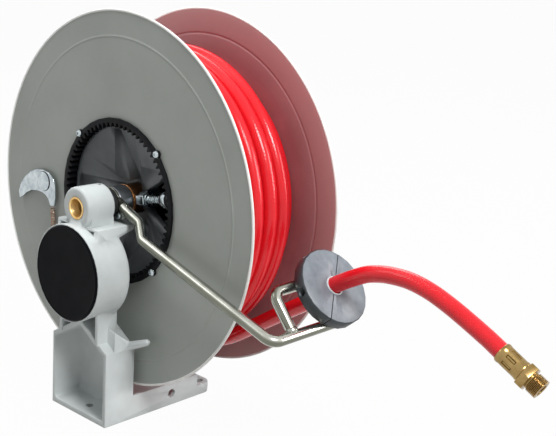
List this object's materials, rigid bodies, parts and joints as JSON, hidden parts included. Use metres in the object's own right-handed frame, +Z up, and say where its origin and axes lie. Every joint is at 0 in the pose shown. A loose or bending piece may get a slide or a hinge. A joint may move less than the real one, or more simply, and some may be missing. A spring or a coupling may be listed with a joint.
{
  "type": "retractable hose reel",
  "caption": "Floor or wall standing spring-rewind hose reel: overhung drum with wound hose, cast stand, geared brake, catch pawl and swinging guide arm with hose stop.",
  "frame": {"origin": "centre of the stand's flat underside", "axes": "+X along the drum's axle, away from the pedestal; -Y the side where the hose leaves; +Z up"},
  "size_m": [0.2102, 0.7265, 0.4636],
  "materials": {
    "cast_grey": "die casting, light grey powder coat, slightly pebbled",
    "cap_black": "matt black moulding",
    "disc_grey": "mid grey powder coat, satin",
    "hub_black": "dark grey glass-filled moulding",
    "brass": "machined, bright",
    "bronze": "oiled sintered bronze, brown",
    "zinc_plate": "bright zinc plate",
    "chrome_dark": "ground steel, dark",
    "spring_steel": "blued strip",
    "friction": "moulded friction material",
    "hose_red": "smooth glossy extruded hose",
    "feed_black": "matt black",
    "stop_face": "matt grey moulded stop"
  },
  "bodies": {
    "stand": {"stand_casting": "cast_grey", "housing_cap": "cap_black", "inlet_bush": "brass", "axle": "zinc_plate", "axle_set_screw": "chrome_dark", "spacer_ring": "feed_black", "axle_sleeve": "chrome_dark", "thrust_ring": "bronze", "spring_arbor": "chrome_dark", "axle_end_washer": "zinc_plate", "axle_end_nut": "zinc_plate", "brake_liner": "friction", "brake_bearing_rear": "chrome_dark", "brake_bearing_front": "chrome_dark"},
    "drum": {"near_disc": "disc_grey", "far_disc": "disc_grey", "drum_core": "hub_black", "hub_web": "hub_black", "far_web": "hub_black", "front_bush": "bronze", "rear_bush": "bronze", "ring_gear": "hub_black", "gear_screw_1": "zinc_plate", "gear_screw_2": "zinc_plate", "gear_screw_3": "zinc_plate", "gear_screw_4": "zinc_plate", "far_screw_1": "zinc_plate", "far_screw_2": "zinc_plate", "far_screw_3": "zinc_plate", "far_screw_4": "zinc_plate", "spring_case": "spring_steel", "spring_case_cover": "spring_steel", "power_spring": "spring_steel", "swivel_body": "bronze", "swivel_nut": "zinc_plate", "hose_tail": "zinc_plate", "feed_hose": "feed_black", "tail_clamp": "zinc_plate", "wound_core": "hose_red", "wound_hose": "hose_red", "pawl_washer": "zinc_plate", "pawl_rivet": "zinc_plate", "spring_post": "zinc_plate", "pawl_spring": "bronze"},
    "brake_rotor": {"brake_shaft": "chrome_dark", "shoe_carrier": "chrome_dark"},
    "shoe_a": {"brake_shoe_a": "friction"},
    "shoe_b": {"brake_shoe_b": "friction"},
    "pawl_blade": {"pawl": "zinc_plate"},
    "arm": {"guide_arm": "zinc_plate", "arm_lock_bolt": "zinc_plate", "hose_strand": "hose_red", "stop_half_near": "stop_face", "stop_half_far": "stop_face", "stop_screw_upper": "zinc_plate", "stop_screw_lower": "zinc_plate", "hose_free": "hose_red", "hose_ferrule": "brass", "outlet_fitting": "brass"}
  },
  "joints": [
    {"name": "drum_turn", "type": "hinge", "parent": "stand", "child": "drum", "pos_m": [-0.034, 0, 0.2486], "axis": [-1, 0, 0], "continuous": true},
    {"name": "brake_turn", "type": "hinge", "parent": "stand", "child": "brake_rotor", "pos_m": [-0.034, 0, 0.1754], "axis": [-1, 0, 0], "continuous": true},
    {"name": "shoe_a_slide", "type": "slide", "parent": "brake_rotor", "child": "shoe_a", "axis": [0, 1, 0], "range_m": [0, 0.0008]},
    {"name": "shoe_b_slide", "type": "slide", "parent": "brake_rotor", "child": "shoe_b", "axis": [0, -1, 0], "range_m": [0, 0.0008]},
    {"name": "pawl_swing", "type": "hinge", "parent": "drum", "child": "pawl_blade", "pos_m": [-0.034, 0.1315, 0.2456], "axis": [1, 0, 0], "range_deg": [-20, 25], "stiffness_Nm_per_rad": 0.3, "deforming": ["pawl_spring"]},
    {"name": "arm_swing", "type": "hinge", "parent": "stand", "child": "arm", "pos_m": [-0.034, 0, 0.2486], "axis": [1, 0, 0], "range_deg": [-120, 6]}
  ],
  "couplings": [
    {"joint": "brake_turn", "follows": "drum_turn", "ratio": 6.5455}
  ]
}
